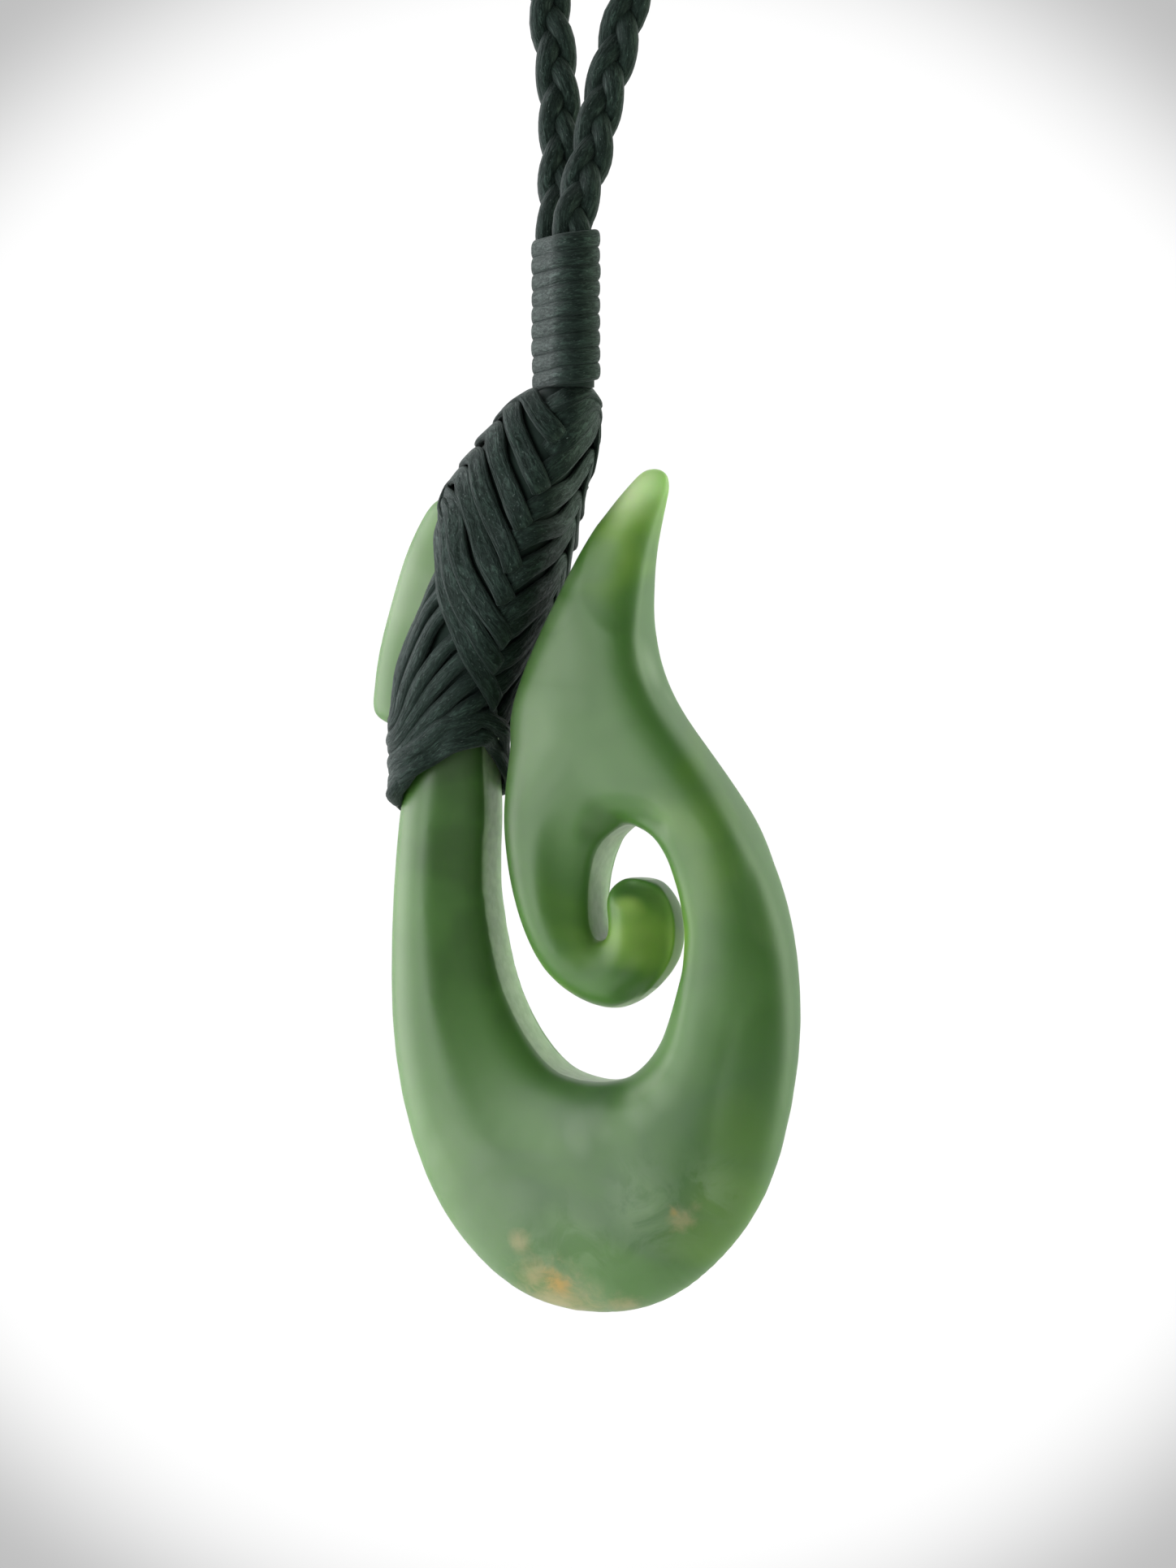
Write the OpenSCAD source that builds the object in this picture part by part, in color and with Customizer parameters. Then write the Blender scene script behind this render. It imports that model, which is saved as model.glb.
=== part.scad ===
// Fish hook pendant of green stone, lashed to a plaited neck cord.
// The stone hangs in the XZ plane and faces -Y. The origin is where the cord rests on the back of the neck.

/* [Stone] */
// Width of the stone, from the outer edge of the shank to the outer edge of the bend
stone_w = 25; // [18:0.5:36]
// Height of the stone, from the bottom of the bend to the point
stone_h = 48; // [34:1:66]
// Greatest thickness of the stone, at the bend
stone_t = 7; // [4.5:0.25:10]

/* [Binding] */
// Thickness of the waxed cord wound over the stone on each face
binding_wall = 1.35; // [1:0.05:2]
// Clearance between the stone and what is wound round it
binding_gap = 0.1; // [0.05:0.05:0.3]
// Height of the ridge that each turn of the binding makes
binding_ridge = 0.22; // [0.1:0.02:0.4]

/* [Whipping] */
// Thickness of the cord that is wound round the two plaits
whip_cord = 1.03; // [0.8:0.01:1.4]
// Number of turns in the whipping
whip_turns = 9; // [5:1:14]
// Wall of wound cord left outside the plaits
whip_wall = 0.32; // [0.26:0.02:0.8]
// Depth of the groove between two turns
whip_groove = 0.12; // [0.06:0.02:0.16]
// Depth to which the plaits go down into the whipping
socket_depth = 4; // [2:0.5:6]

/* [Neck cord] */
// Thickness of each plait
plait_d = 2.25; // [1.8:0.05:3]
// Clearance round a plait in the whipping
plait_gap = 0.05; // [0.03:0.01:0.15]

/* [Hidden] */

// Wall left between the two plaits in the whipping
pair_wall = 0.04;
// How far apart the two plaits lie where they leave the whipping, centre to centre
pair_gap = plait_d + 2 * plait_gap + pair_wall;
// How far the pair is turned from side by side towards one in front of the other
pair_turn = -44;
whip_h = whip_turns * whip_cord;
// Share of the stone's width that lies on the shank's side of the line it hangs on
hang_share = 0.424;
// Height above the bottom of the bend at which the binding ends and the whipping starts
binding_top = 1.094 * stone_h;
whip_gap = 0.05;
whip_bottom = binding_top + whip_gap;
whip_top = whip_bottom + whip_h;

// Route of the right plait from inside the whipping to the back of the neck, on its centre line.
// x is out from the middle, y back from the pendant, z up from the whipping's top, and pair
// the share of its place in the turned pair that it keeps there.
// The first and last rows only steer the ends.
ROUTE = [
    // x,   y,     z,     pair
    [0,     0,     -10,   1],
    [0,     0,     -5,    1],
    [0,     0,     0,     1],
    [0.05,  0.15,  1,     0.95],
    [0.6,   1.4,   4,     0.6],
    [1.3,   2.4,   8,     0.25],
    [2.4,   3.5,   13,    0],
    [5.2,   6.5,   28,    0],
    [10.5,  12,    56,    0],
    [18,    19,    95,    0],
    [27,    27.5,  140,   0],
    [37,    36.5,  185,   0],
    [46,    46,    222,   0],
    [52.5,  59,    249,   0],
    [55,    74,    266,   0],
    [52.5,  90,    277,   0],
    [45,    105,   283.5, 0],
    [33,    117,   287.5, 0],
    [18,    125.5, 289.5, 0],
    [0,     128,   290,   0],
    [-18,   125.5, 289.5, 0]
];
ring_step = 8;
// Gap between the two plaits where they meet at the back of the neck
join_gap = 0.04;
// Where the pendant hangs, so that the end of the route rests on the neck at the origin
pendant_y = -ROUTE[len(ROUTE) - 2][1] + plait_d / 2;
pendant_z = -ROUTE[len(ROUTE) - 2][2] - whip_top;

// Sections of the stone, as shares of its width, height and thickness.
// outer is a point on its outline, inner the one across from it, and thick the thickness there.
// The next two columns say how square the section is on each side, where 2 is round, and slope is
// the share of the thickness that both faces lose on their way from the middle to the inner edge.
// The hook runs from the head down the shank, round the bend and up to the point.
HOOK = [
    // outer u, w,    inner u, w,     thick, outer, inner, slope
    [0.128,  0.972,  0.270,  0.976,  0.30,  2.0,  2.0,  0],
    [0.098,  0.963,  0.318,  0.960,  0.52,  2.2,  2.4,  0],
    [0.066,  0.938,  0.352,  0.920,  0.60,  2.4,  3.0,  0],
    [0.031,  0.900,  0.350,  0.872,  0.64,  2.4,  3.2,  0],
    [-0.003, 0.844,  0.294,  0.820,  0.66,  2.4,  3.2,  0],
    [-0.033, 0.786,  0.254,  0.768,  0.67,  2.4,  3.2,  0],
    [-0.045, 0.738,  0.241,  0.724,  0.69,  2.4,  3.4,  0.06],
    [-0.040, 0.708,  0.238,  0.698,  0.71,  2.4,  4.0,  0.14],
    [0.052,  0.684,  0.239,  0.680,  0.74,  2.4,  5.5,  0.24],
    [0.040,  0.640,  0.243,  0.640,  0.79,  2.2,  8.0,  0.34],
    [0.022,  0.590,  0.247,  0.590,  0.83,  2.1,  10,   0.40],
    [0.008,  0.500,  0.243,  0.505,  0.89,  2.1,  10,   0.42],
    [0.002,  0.395,  0.275,  0.410,  0.95,  2.1,  10,   0.42],
    [0.013,  0.300,  0.315,  0.357,  0.99,  2.1,  9.0,  0.40],
    [0.056,  0.200,  0.364,  0.317,  1.00,  2.1,  8.0,  0.33],
    [0.147,  0.102,  0.417,  0.290,  1.00,  2.1,  6.8,  0.20],
    [0.292,  0.028,  0.472,  0.280,  1.00,  2.1,  5.6,  0.08],
    [0.398,  0.006,  0.506,  0.277,  1.00,  2.1,  4.9,  0.03],
    [0.512,  0.000,  0.540,  0.277,  1.00,  2.1,  4.4,  0],
    [0.616,  0.006,  0.570,  0.279,  0.99,  2.1,  4.0,  0],
    [0.705,  0.027,  0.600,  0.284,  0.99,  2.1,  3.6,  0],
    [0.853,  0.099,  0.640,  0.302,  0.98,  2.1,  3.1,  0],
    [0.939,  0.190,  0.678,  0.330,  0.97,  2.1,  3.0,  0],
    [0.982,  0.300,  0.710,  0.371,  0.96,  2.1,  3.4,  0],
    [0.985,  0.385,  0.730,  0.412,  0.95,  2.2,  3.4,  0],
    [0.966,  0.457,  0.729,  0.462,  0.94,  2.4,  3.4,  0],
    [0.931,  0.516,  0.712,  0.518,  0.93,  2.7,  3.4,  0],
    [0.882,  0.571,  0.672,  0.558,  0.92,  3.1,  3.2,  0],
    [0.846,  0.602,  0.610,  0.577,  0.91,  3.5,  3.0,  0],
    [0.801,  0.636,  0.460,  0.600,  0.89,  3.9,  3.0,  0],
    [0.753,  0.669,  0.325,  0.645,  0.87,  4.3,  3.0,  0],
    [0.695,  0.709,  0.300,  0.700,  0.84,  4.5,  3.0,  0],
    [0.652,  0.750,  0.328,  0.752,  0.80,  4.5,  3.0,  0],
    [0.629,  0.795,  0.366,  0.798,  0.74,  4.2,  2.9,  0],
    [0.628,  0.845,  0.411,  0.845,  0.66,  3.6,  2.8,  0],
    [0.640,  0.900,  0.467,  0.900,  0.56,  3.0,  2.6,  0],
    [0.659,  0.942,  0.520,  0.942,  0.47,  2.6,  2.5,  0],
    [0.676,  0.975,  0.574,  0.976,  0.38,  2.2,  2.2,  0],
    [0.676,  0.990,  0.606,  0.993,  0.28,  2.2,  2.2,  0],
    [0.662,  0.999,  0.622,  1.000,  0.16,  2.0,  2.0,  0]
];
// The curl runs from inside the blade down and round into its bulb.
CURL = [
    // outer u, w,    inner u, w,     thick, outer, inner, slope
    [0.352,  0.742,  0.640,  0.700,  0.55,  3.0,  2.6,  0],
    [0.311,  0.690,  0.665,  0.650,  0.82,  3.0,  2.6,  0],
    [0.296,  0.640,  0.640,  0.602,  0.88,  3.0,  2.8,  0.02],
    [0.290,  0.592,  0.541,  0.562,  0.90,  2.8,  7.0,  0.18],
    [0.296,  0.545,  0.512,  0.523,  0.91,  2.6,  11,   0.31],
    [0.314,  0.498,  0.504,  0.486,  0.91,  2.6,  12,   0.34],
    [0.345,  0.448,  0.508,  0.463,  0.89,  2.5,  12,   0.34],
    [0.394,  0.403,  0.516,  0.448,  0.84,  2.4,  8.0,  0.26],
    [0.470,  0.372,  0.528,  0.441,  0.77,  2.3,  4.5,  0.14],
    [0.558,  0.361,  0.541,  0.443,  0.72,  2.4,  3.6,  0.02],
    [0.633,  0.384,  0.550,  0.451,  0.68,  3.4,  3.6,  0],
    [0.686,  0.422,  0.550,  0.466,  0.67,  4.4,  4.0,  0],
    [0.694,  0.463,  0.544,  0.482,  0.66,  4.6,  4.0,  0],
    [0.678,  0.492,  0.548,  0.502,  0.62,  4.4,  3.6,  0],
    [0.646,  0.513,  0.580,  0.518,  0.52,  3.4,  3.0,  0]
];
// Sections of the binding from the whipping down over the head to the neck of the shank.
// left and right are its outline, deep the share of its full depth, dip how far the turns
// sag between its sides, as a share of the stone's height, and square as above.
BINDING = [
    // left u, w,     right u, w,    deep,  dip,    square
    [0.334,  1.094,  0.496,  1.094,  0.52,  0.000,  2.0],
    [0.290,  1.076,  0.496,  1.080,  0.64,  0.010,  2.2],
    [0.222,  1.038,  0.494,  1.050,  0.80,  0.040,  2.4],
    [0.166,  0.998,  0.478,  1.016,  0.92,  0.072,  2.6],
    [0.134,  0.962,  0.452,  0.982,  1.00,  0.096,  2.8],
    [0.124,  0.924,  0.433,  0.944,  1.00,  0.108,  3.0],
    [0.116,  0.884,  0.409,  0.898,  1.00,  0.104,  3.0],
    [0.086,  0.844,  0.382,  0.852,  1.00,  0.084,  3.0],
    [0.040,  0.800,  0.350,  0.810,  0.99,  0.056,  3.0],
    [0.012,  0.756,  0.320,  0.770,  0.97,  0.028,  3.0],
    [0.002,  0.706,  0.298,  0.740,  0.96,  0.006,  3.0],
    [0.006,  0.652,  0.284,  0.710,  0.95,  -0.012, 3.0],
    [0.008,  0.594,  0.274,  0.680,  0.94,  -0.026, 3.0]
];
// How the slope starts: 1 is a crease down the middle of the face, and more is a gentler start
slope_curve = 1.3;
stone_sides = 28;
stone_steps = 2;
bound_rows = 16;
binding_sides = 28;
binding_steps = 4;
whip_sides = 24;
rings_per_turn = 4;
plait_sides = 8;
sink = 0.02;

// Columns of the section tables
OUTER_ACROSS = 0;
OUTER_UP = 1;
INNER_ACROSS = 2;
INNER_UP = 3;
THICK = 4;
OUTER_SQUARE = 5;
INNER_SQUARE = 6;
SLOPE = 7;
DIP = 5;
SQUARE = 6;
PAIR = 3;

function unit(v) = v / norm(v);

// A smooth curve through the rows b and c, with a and d steering it
function through(a, b, c, d, t) =
    0.5 * (2 * b + (c - a) * t + (2 * a - 5 * b + 4 * c - d) * t * t + (3 * b - a - 3 * c + d) * t * t * t);

// A table drawn out finely, with its end rows steering themselves
function drawn_out(rows, steps) =
    let(last = len(rows) - 1)
    [for (i = [0 : last - 1], s = [0 : steps - 1])
        through(rows[max(i - 1, 0)], rows[i], rows[i + 1], rows[min(i + 2, last)], s / steps),
     rows[last]];

// A coordinate of a superellipse from the cosine or sine of its angle
function squared(c, power) = sign(c) * pow(abs(c), 2 / power);

function stone_point(u, w) = [(u - hang_share) * stone_w, w * stone_h];

// The ring of points of one section of the stone, larger by grow all round
function stone_ring(row, grow) =
    let(
        outer = stone_point(row[OUTER_ACROSS], row[OUTER_UP]),
        inner = stone_point(row[INNER_ACROSS], row[INNER_UP]),
        middle = (outer + inner) / 2,
        across = (inner - outer) / 2,
        reach = across + unit(across) * grow,
        half = row[THICK] * stone_t / 2 + grow
    )
    [for (i = [0 : stone_sides - 1])
        let(
            turn = 360 * i / stone_sides,
            power = cos(turn) > 0 ? row[INNER_SQUARE] : row[OUTER_SQUARE],
            side = squared(cos(turn), power),
            along = middle + reach * side,
            left = 1 - row[SLOPE] * pow(max(0, side), slope_curve)
        )
        [along[0], half * left * squared(sin(turn), power), along[1]]];

// Skin over a stack of rings, with its two ends closed
module skin(rings) {
    sides = len(rings[0]);
    points = [for (ring = rings) each ring];
    walls = [for (r = [0 : len(rings) - 2], i = [0 : sides - 1])
        let(
            j = (i + 1) % sides,
            a = r * sides + i,
            b = r * sides + j,
            c = (r + 1) * sides + j,
            d = (r + 1) * sides + i
        )
        each [[a, b, c], [a, c, d]]];
    first = [for (i = [sides - 1 : -1 : 0]) i];
    last = [for (i = [0 : sides - 1]) (len(rings) - 1) * sides + i];
    polyhedron(points, concat(walls, [first, last]), convexity = 10);
}

module hook_form() {
    skin([for (row = drawn_out(HOOK, stone_steps)) stone_ring(row, 0)]);
}

// The head and shank with the clearance round them, a little longer at the top as well
module bound_form() {
    lift = 2 * binding_gap / stone_h;
    rows = [for (i = [0 : bound_rows - 1]) i == 0 ? HOOK[0] + [0, lift, 0, lift, 0, 0, 0, 0] : HOOK[i]];
    skin([for (row = drawn_out(rows, stone_steps)) stone_ring(row, binding_gap)]);
}

module curl_form() {
    skin([for (row = drawn_out(CURL, stone_steps)) stone_ring(row, 0)]);
}

module hook_stone() {
    color("darkolivegreen")
        union() {
            hook_form();
            curl_form();
        }
}

// Full depth of the binding where it covers the head
binding_deep = 0.7 * stone_t + 2 * (binding_gap + binding_wall);

// One ring of the binding: its turns sag in the middle of each face and stand out as ridges
function binding_ring(row, ridge) =
    let(
        left = stone_point(row[OUTER_ACROSS], row[OUTER_UP]),
        right = stone_point(row[INNER_ACROSS], row[INNER_UP]),
        middle = (left + right) / 2,
        across = (right - left) / 2,
        reach = across - unit(across) * ridge,
        half = row[THICK] * binding_deep / 2 - ridge
    )
    [for (i = [0 : binding_sides - 1])
        let(
            turn = 360 * i / binding_sides,
            side = squared(cos(turn), row[SQUARE]),
            along = middle + reach * side
        )
        [along[0], half * squared(sin(turn), row[SQUARE]), along[1] - row[DIP] * stone_h * (1 - abs(side))]];

module binding_form() {
    rows = drawn_out(BINDING, binding_steps);
    skin([for (i = [0 : len(rows) - 1]) binding_ring(rows[i], i % 2 == 0 ? 0 : binding_ridge)]);
}

module binding() {
    color("darkslategray")
        difference() {
            binding_form();
            bound_form();
        }
}

// Point on the outside of the whipping: two plaits side by side with the cord wound round both
function whip_point(turn, z) =
    let(
        groove = whip_groove * (1 - abs(sin(180 * (z / whip_cord + turn / 360)))),
        r = plait_d / 2 + plait_gap + whip_wall - groove,
        shift = sign(cos(turn)) * pair_gap / 2
    )
    [shift + r * cos(turn), r * sin(turn), whip_bottom + z];

module whip_form() {
    skin([for (k = [0 : whip_turns * rings_per_turn])
        [for (i = [0 : whip_sides - 1])
            whip_point(360 * (i + 0.5) / whip_sides, k * whip_cord / rings_per_turn)]]);
}

module whipping() {
    color("darkslategray")
        rotate([0, 0, pair_turn])
            difference() {
                whip_form();
                for (side = [-1, 1])
                    translate([side * pair_gap / 2, 0, whip_top - socket_depth - plait_gap])
                        cylinder(h = socket_depth + plait_gap + sink, r = plait_d / 2 + plait_gap, $fn = 48);
            }
}

// A row of the route as a point of the plait on one side
function route_point(row, side) =
    let(start = pair_gap / 2 * [cos(pair_turn), sin(pair_turn)])
    [side * (start[0] * row[PAIR] + row[0] + join_gap / 2 * (1 - row[PAIR])),
     row[1] + side * start[1] * row[PAIR],
     whip_top + (row[2] < 0 ? -socket_depth * row[2] / ROUTE[1][2] : row[2])];

// Points and directions along a plait, about ring_step apart
function plait_stations(side) =
    let(p = [for (row = ROUTE) route_point(row, side)])
    [for (i = [1 : len(p) - 3])
        let(steps = max(1, round(norm(p[i + 1] - p[i]) / ring_step)))
        for (s = [0 : (i == len(p) - 3 ? steps : steps - 1)])
            let(
                t = s / steps,
                here = through(p[i - 1], p[i], p[i + 1], p[i + 2], t),
                before = through(p[i - 1], p[i], p[i + 1], p[i + 2], t - 0.01),
                after = through(p[i - 1], p[i], p[i + 1], p[i + 2], t + 0.01)
            )
            [here, unit(after - before)]];

function plait_ring(station, side) =
    let(
        n = unit(cross(station[1], [side, 1, -1])),
        b = cross(station[1], n)
    )
    [for (i = [0 : plait_sides - 1])
        let(turn = side * 360 * i / plait_sides)
        station[0] + plait_d / 2 * (n * cos(turn) + b * sin(turn))];

module plait(side) {
    color("darkslategray")
        skin([for (station = plait_stations(side)) plait_ring(station, side)]);
}

module hung() {
    translate([0, pendant_y, pendant_z])
        children();
}

hung() hook_stone();
hung() binding();
hung() whipping();
hung() plait(-1);  // plait_left
hung() plait(1);  // plait_right
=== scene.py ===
# %% [markdown]
# A fish hook pendant of green stone
#
# The real pendant is one carved stone, lashed with black waxed cord to a plaited neck cord. The packed
# model gives every piece its size and place. This lesson dresses it: the stone is given its carved
# faces, and each cord is wound, woven or plaited strand by strand over the plain solids.

import math

import bpy
import bmesh
import numpy as np
from mathutils import Matrix, Vector, noise
from mathutils.bvhtree import BVHTree


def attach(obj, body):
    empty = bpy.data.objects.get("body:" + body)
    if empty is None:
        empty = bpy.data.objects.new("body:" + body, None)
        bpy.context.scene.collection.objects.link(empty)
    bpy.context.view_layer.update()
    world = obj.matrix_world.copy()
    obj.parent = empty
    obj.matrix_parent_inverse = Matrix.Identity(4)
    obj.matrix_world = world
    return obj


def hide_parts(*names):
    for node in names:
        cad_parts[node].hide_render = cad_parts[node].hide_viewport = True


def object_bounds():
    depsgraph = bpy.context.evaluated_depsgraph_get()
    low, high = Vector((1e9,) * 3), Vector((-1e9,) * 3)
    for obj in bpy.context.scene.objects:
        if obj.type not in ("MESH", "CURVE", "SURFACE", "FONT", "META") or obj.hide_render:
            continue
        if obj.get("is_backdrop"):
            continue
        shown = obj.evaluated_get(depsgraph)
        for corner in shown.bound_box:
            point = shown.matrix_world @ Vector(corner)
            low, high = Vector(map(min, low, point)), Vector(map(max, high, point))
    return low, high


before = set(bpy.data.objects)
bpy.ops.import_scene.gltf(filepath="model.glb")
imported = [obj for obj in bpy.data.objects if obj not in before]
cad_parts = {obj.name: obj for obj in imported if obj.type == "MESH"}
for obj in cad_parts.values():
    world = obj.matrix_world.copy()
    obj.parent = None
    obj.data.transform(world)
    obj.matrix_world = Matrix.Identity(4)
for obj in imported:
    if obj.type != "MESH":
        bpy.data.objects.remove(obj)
MM = 0.001
cad_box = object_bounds()
scene = bpy.context.scene
scene.view_settings.view_transform = "Standard"
print("pieces in the frame:", sorted(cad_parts))

# %% [markdown]
# The camera
#
# The photograph looks at the hanging stone from about 22 degrees to its left-hand side, at the height
# of its middle, through a long lens. A ray from the camera through a point of the picture finds the
# place on the model that the picture shows there, so cords and carving can be traced where they lie.

# %% Place the camera
PICTURE = (1448, 1930)
VIEW_TURN = math.radians(22)
VIEW_DISTANCE = 335 * MM
STONE_BOTTOM = Vector((0, -126.875, -351.832)) * MM
VIEW_TARGET = STONE_BOTTOM + Vector((1.37, 0, 30.1)) * MM
SENSOR = 36.0
LENS = 135.0

to_camera = Vector((math.sin(VIEW_TURN), -math.cos(VIEW_TURN), 0))
camera_data = bpy.data.cameras.new("camera")
camera_data.sensor_width = SENSOR
camera_data.lens = LENS
camera_data.clip_start = 0.01
camera_data.clip_end = 20
camera = bpy.data.objects.new("camera", camera_data)
camera.location = VIEW_TARGET + to_camera * VIEW_DISTANCE
camera.rotation_euler = (-to_camera).to_track_quat("-Z", "Y").to_euler()
scene.collection.objects.link(camera)
scene.camera = camera
print("camera", [round(c, 4) for c in camera.location])


# %% Look through a point of the picture
def ray_through(px, py):
    """Direction of the ray from the camera through a point of the picture."""
    right = Vector((math.cos(VIEW_TURN), math.sin(VIEW_TURN), 0))
    across = (px - PICTURE[0] / 2) * SENSOR / PICTURE[1]
    up = (PICTURE[1] / 2 - py) * SENSOR / PICTURE[1]
    return (right * across + Vector((0, 0, up)) - to_camera * LENS).normalized()


def seen_at(tree, px, py):
    """The point of a surface that the picture shows there, or the nearest one to the ray."""
    ray = ray_through(px, py)
    hit = tree.ray_cast(camera.location, ray)[0]
    if hit is not None:
        return hit
    t = VIEW_DISTANCE
    for _ in range(4):
        near = tree.find_nearest(camera.location + ray * t)[0]
        t = (near - camera.location).dot(ray)
    return near


middle_ray = ray_through(PICTURE[0] / 2, PICTURE[1] / 2)
print("the picture's middle looks along", [round(c, 3) for c in middle_ray])

# %% [markdown]
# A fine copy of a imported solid
#
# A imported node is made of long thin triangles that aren't joined, so it can't be smoothed or carved as
# it is. The triangles of its copy are joined, a voxel remesh gives it an even skin, and that is smoothed
# until the facets are gone. Smoothing shrinks a round form, so each place is given back what its
# neighbourhood lost.

# %% Copy, remesh and smooth
MERGE = 0.001 * MM
END_RING = 0.02 * MM
END_NARROWER = 0.65


def new_object(name, mesh):
    piece = bpy.data.objects.new(name, mesh)
    scene.collection.objects.link(piece)
    return piece


def averaged(bm, values, rounds):
    """Values of the points, each averaged with its neighbours a number of times."""
    ends = np.array([[v.index for v in e.verts] for e in bm.edges])
    count = np.bincount(ends.ravel(), minlength=len(values))
    for _ in range(rounds):
        near = np.bincount(ends[:, 0], values[ends[:, 1]], len(values))
        near += np.bincount(ends[:, 1], values[ends[:, 0]], len(values))
        values = (values + near / count) / 2
    return values


def smooth_all(bm, rounds):
    for _ in range(rounds):
        bmesh.ops.smooth_vert(bm, verts=bm.verts, factor=0.5,
                              use_axis_x=True, use_axis_y=True, use_axis_z=True)


def swell_back(bm, before, rounds=12):
    """Gives each place back what smoothing took from its neighbourhood."""
    bm.normal_update()
    bm.verts.index_update()
    place = np.array([v.co for v in bm.verts])
    normal = np.array([v.normal for v in bm.verts])
    nearest = np.array([before.find_nearest(v.co)[0] for v in bm.verts])
    lost = averaged(bm, ((nearest - place) * normal).sum(axis=1), rounds)
    for v, n, amount in zip(bm.verts, normal, lost):
        v.co += Vector(n) * amount


def draw_up(bm, amount):
    """Narrows the top end of a form and draws it up, so that it runs in under what stands on it."""
    top = max(v.co.z for v in bm.verts)
    ring = [v for v in bm.verts if v.co.z > top - END_RING]
    centre = sum((v.co for v in ring), Vector()) / len(ring)
    bmesh.ops.scale(bm, verts=ring, vec=(END_NARROWER, END_NARROWER, 1), space=Matrix.Translation(-centre))
    bmesh.ops.translate(bm, verts=ring, vec=(0, 0, amount))


def fine_copy(node, voxel, rounds, drawn_up=0.0):
    """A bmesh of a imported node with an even, smoothed skin, its top end drawn up if asked."""
    bm = bmesh.new()
    bm.from_mesh(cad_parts[node].data)
    bmesh.ops.remove_doubles(bm, verts=bm.verts, dist=MERGE)
    if drawn_up:
        draw_up(bm, drawn_up)
    mesh = bpy.data.meshes.new(node + "_copy")
    bm.to_mesh(mesh)
    bm.free()
    rough = new_object(node + "_copy", mesh)
    remesh = rough.modifiers.new("even skin", "REMESH")
    remesh.mode = "VOXEL"
    remesh.voxel_size = voxel
    bm = bmesh.new()
    bm.from_object(rough, bpy.context.evaluated_depsgraph_get())
    bpy.data.objects.remove(rough)
    before = BVHTree.FromBMesh(bm)
    smooth_all(bm, rounds)
    swell_back(bm, before)
    print(node, "copied with", len(bm.faces), "faces")
    return bm


# %% [markdown]
# Handing a piece over
#
# A finished piece has its normals outward, rides on the pendant's one body and stands for the packed
# solid that it replaces. It is given its material.


# %% Finish a piece
def finish_piece(name, bm, material, nodes):
    """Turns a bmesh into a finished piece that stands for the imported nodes."""
    bmesh.ops.recalc_face_normals(bm, faces=bm.faces)
    mesh = bpy.data.meshes.new(name)
    bm.to_mesh(mesh)
    bm.free()
    mesh.polygons.foreach_set("use_smooth", [True] * len(mesh.polygons))
    mesh.materials.append(material)
    piece = new_object(name, mesh)
    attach(piece, "root")
    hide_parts(*nodes)
    print(name, "has", sum(len(p.vertices) - 2 for p in mesh.polygons), "triangles")


# %% [markdown]
# Node materials
#
# Every finish here is built from the same few nodes, so each gets a short helper.


# %% A small kit for node materials
def new_material(name, finish):
    """A material with its shader's constant values set."""
    material = bpy.data.materials.new(name)
    material.use_nodes = True
    shader = material.node_tree.nodes["Principled BSDF"]
    for socket, value in finish.items():
        shader.inputs[socket].default_value = value
    return material, material.node_tree, shader


def add_node(tree, kind, inputs=None, **settings):
    """A node with its settings, and its inputs set to a value or linked to a socket."""
    node = tree.nodes.new(kind)
    for key, value in settings.items():
        setattr(node, key, value)
    for key, value in (inputs or {}).items():
        if isinstance(value, bpy.types.NodeSocket):
            tree.links.new(value, node.inputs[key])
        else:
            node.inputs[key].default_value = value
    return node


def worked_out(tree, operation, *values):
    """The result of one sum."""
    return add_node(tree, "ShaderNodeMath", operation=operation, inputs=dict(enumerate(values))).outputs[0]


def times(tree, first, second):
    return worked_out(tree, "MULTIPLY", first, second)


def spread(tree, value, low, high, to_low=0.0, to_high=1.0):
    """A value from low to high, spread smoothly from to_low to to_high."""
    node = add_node(tree, "ShaderNodeMapRange", interpolation_type="SMOOTHSTEP",
                    inputs={"Value": value, "From Min": low, "From Max": high,
                            "To Min": to_low, "To Max": to_high})
    return node.outputs["Result"]


def mixed(tree, factor, first, second):
    """A colour between two others."""
    node = add_node(tree, "ShaderNodeMix", data_type="RGBA", inputs={0: factor, 6: first, 7: second})
    return node.outputs[2]


def grain(tree, place, scale, detail=3.0, roughness=0.5, distortion=0.0):
    node = add_node(tree, "ShaderNodeTexNoise",
                    inputs={"Vector": place, "Scale": scale, "Detail": detail,
                            "Roughness": roughness, "Distortion": distortion})
    return node.outputs["Fac"]


def bump(tree, height, distance, strength=1.0):
    node = add_node(tree, "ShaderNodeBump", inputs={"Height": height, "Distance": distance,
                                                   "Strength": strength})
    return node.outputs["Normal"]


# %% [markdown]
# Waxed cord
#
# The cord is black polyester thread, twisted and waxed. Wound tight it lies flat, about 1 mm wide, and
# its threads run along it with a slight slant. Their tops are painted with a soft grey green highlight,
# the gaps between them with nearly black painted shade, and specks of pale lint stick to the wax, painted
# bright as glints. The pattern follows each strand, so it is drawn on the strand's own map, in
# millimetres: along it, and round it. Each point of a strand also knows how high it lies in its
# section, and the low ones are painted dark, as shade in the creases between strands.

# %% Colours of the cord
# The first two colours are the cord in painted shade and in painted highlight.
CORD_SHADE = (0.0015, 0.0028, 0.0022, 1)
CORD_LIT = (0.030, 0.054, 0.041, 1)
CORD_LINT_AND_GLINT = (0.24, 0.31, 0.28, 1)
CORD_FINISH = {"Specular IOR Level": 0.35, "Specular Tint": (0.62, 1.0, 0.82, 1), "Sheen Weight": 0.12,
               "Sheen Roughness": 0.4, "Sheen Tint": (0.6, 0.8, 0.72, 1)}
THREAD = (0.6, 0.1)
PLY = (4.5, 0.32)
LINT_AND_GLINT = (0.22, 0.028)
THREAD_RELIEF = 0.1 * MM
PLY_RELIEF = 2.2
SLANT = math.radians(9)


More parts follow.
